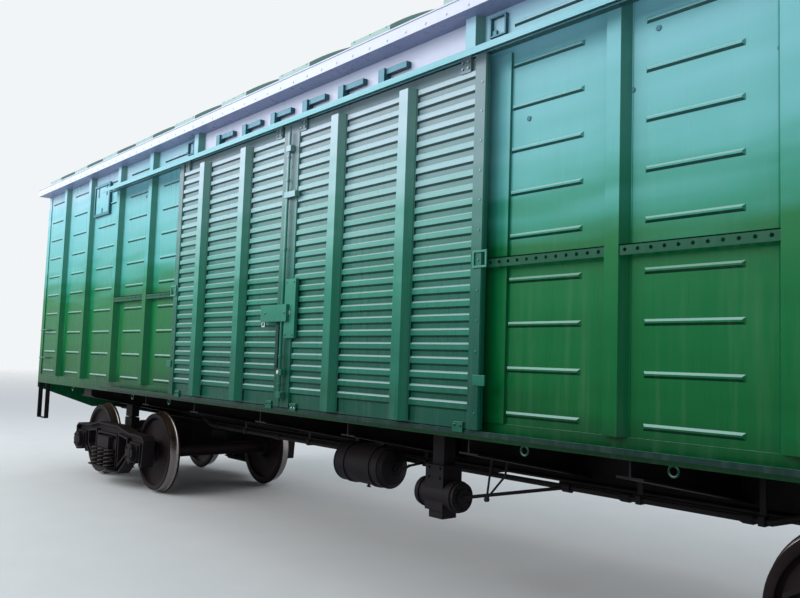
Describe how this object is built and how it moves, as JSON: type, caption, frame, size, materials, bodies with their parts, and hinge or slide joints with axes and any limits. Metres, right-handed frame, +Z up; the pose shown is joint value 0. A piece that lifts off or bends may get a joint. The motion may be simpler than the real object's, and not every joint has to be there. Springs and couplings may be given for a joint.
{
  "type": "covered railway goods wagon",
  "caption": "Closed broad-gauge goods wagon with ribbed double sliding doors on each side, hat posts on beaded sheets, an arched roof, claw couplers and swivelling bogies.",
  "frame": {"origin": "middle of the wagon, on the level of the wheel flanges, the lowest points", "axes": "+X along the wagon towards the front bogie, +Y across to the left side, +Z up"},
  "size_m": [14.95, 3.28, 4.7],
  "materials": {
    "body_green": "gloss green enamel",
    "underframe_black": "dull black paint with road dust",
    "bogie_cast": "cast steel, blackened",
    "wheel_steel": "rolled steel, bright on the treads",
    "floor_boards": "worn pine boards"
  },
  "bodies": {
    "wagon_body": {"air_distributor": "underframe_black", "air_reservoir": "underframe_black", "body_bolsters": "underframe_black", "brake_cylinder": "underframe_black", "brake_rods": "underframe_black", "centre_plates": "underframe_black", "centre_sill": "underframe_black", "corner_steps": "underframe_black", "couplers": "underframe_black", "cross_beams": "underframe_black", "door_headers": "body_green", "door_hoods": "body_green", "eave_rails": "body_green", "end_ladders": "body_green", "end_posts": "body_green", "end_sills": "body_green", "end_wall_front": "body_green", "end_wall_rear": "body_green", "floor": "floor_boards", "guard_rails": "body_green", "hood_brackets": "body_green", "left_posts": "body_green", "left_wall_front": "body_green", "left_wall_rear": "body_green", "lower_tracks": "body_green", "reservoir_straps": "underframe_black", "right_posts": "body_green", "right_wall_front": "body_green", "right_wall_rear": "body_green", "roof": "body_green", "roof_hatches": "body_green", "side_sills": "body_green", "train_pipe": "underframe_black", "uncoupling_levers": "underframe_black"},
    "front_bogie": {"front_axle_boxes": "bogie_cast", "front_bogie_bolster": "bogie_cast", "front_brake_beams": "bogie_cast", "front_side_frames": "bogie_cast", "front_springs": "bogie_cast"},
    "front_inner_axle": {"front_inner_wheelset": "wheel_steel"},
    "front_outer_axle": {"front_outer_wheelset": "wheel_steel"},
    "left_front_door": {"left_door_front": "body_green"},
    "left_rear_door": {"left_door_lock": "body_green", "left_door_rear": "body_green"},
    "rear_bogie": {"rear_axle_boxes": "bogie_cast", "rear_bogie_bolster": "bogie_cast", "rear_brake_beams": "bogie_cast", "rear_side_frames": "bogie_cast", "rear_springs": "bogie_cast"},
    "rear_inner_axle": {"rear_inner_wheelset": "wheel_steel"},
    "rear_outer_axle": {"rear_outer_wheelset": "wheel_steel"},
    "right_front_door": {"right_door_front": "body_green", "right_door_lock": "body_green"},
    "right_rear_door": {"right_door_rear": "body_green"}
  },
  "joints": [
    {"name": "front_bogie_swivel", "type": "hinge", "parent": "wagon_body", "child": "front_bogie", "pos_m": [5, 0, 0.834], "axis": [0, 0, 1], "range_deg": [-5, 5]},
    {"name": "front_outer_axle_spin", "type": "hinge", "parent": "front_bogie", "child": "front_outer_axle", "pos_m": [5.925, 0, 0.5065], "axis": [0, 1, 0], "continuous": true},
    {"name": "front_inner_axle_spin", "type": "hinge", "parent": "front_bogie", "child": "front_inner_axle", "pos_m": [4.075, 0, 0.5065], "axis": [0, 1, 0], "continuous": true},
    {"name": "rear_bogie_swivel", "type": "hinge", "parent": "wagon_body", "child": "rear_bogie", "pos_m": [-5, 0, 0.834], "axis": [0, 0, 1], "range_deg": [-5, 5]},
    {"name": "rear_outer_axle_spin", "type": "hinge", "parent": "rear_bogie", "child": "rear_outer_axle", "pos_m": [-5.925, 0, 0.5065], "axis": [0, 1, 0], "continuous": true},
    {"name": "rear_inner_axle_spin", "type": "hinge", "parent": "rear_bogie", "child": "rear_inner_axle", "pos_m": [-4.075, 0, 0.5065], "axis": [0, 1, 0], "continuous": true},
    {"name": "right_front_door_slide", "type": "slide", "parent": "wagon_body", "child": "right_front_door", "axis": [1, 0, 0], "range_m": [0, 1.95]},
    {"name": "right_rear_door_slide", "type": "slide", "parent": "wagon_body", "child": "right_rear_door", "axis": [-1, 0, 0], "range_m": [0, 1.95]},
    {"name": "left_front_door_slide", "type": "slide", "parent": "wagon_body", "child": "left_front_door", "axis": [1, 0, 0], "range_m": [0, 1.95]},
    {"name": "left_rear_door_slide", "type": "slide", "parent": "wagon_body", "child": "left_rear_door", "axis": [-1, 0, 0], "range_m": [0, 1.95]}
  ]
}
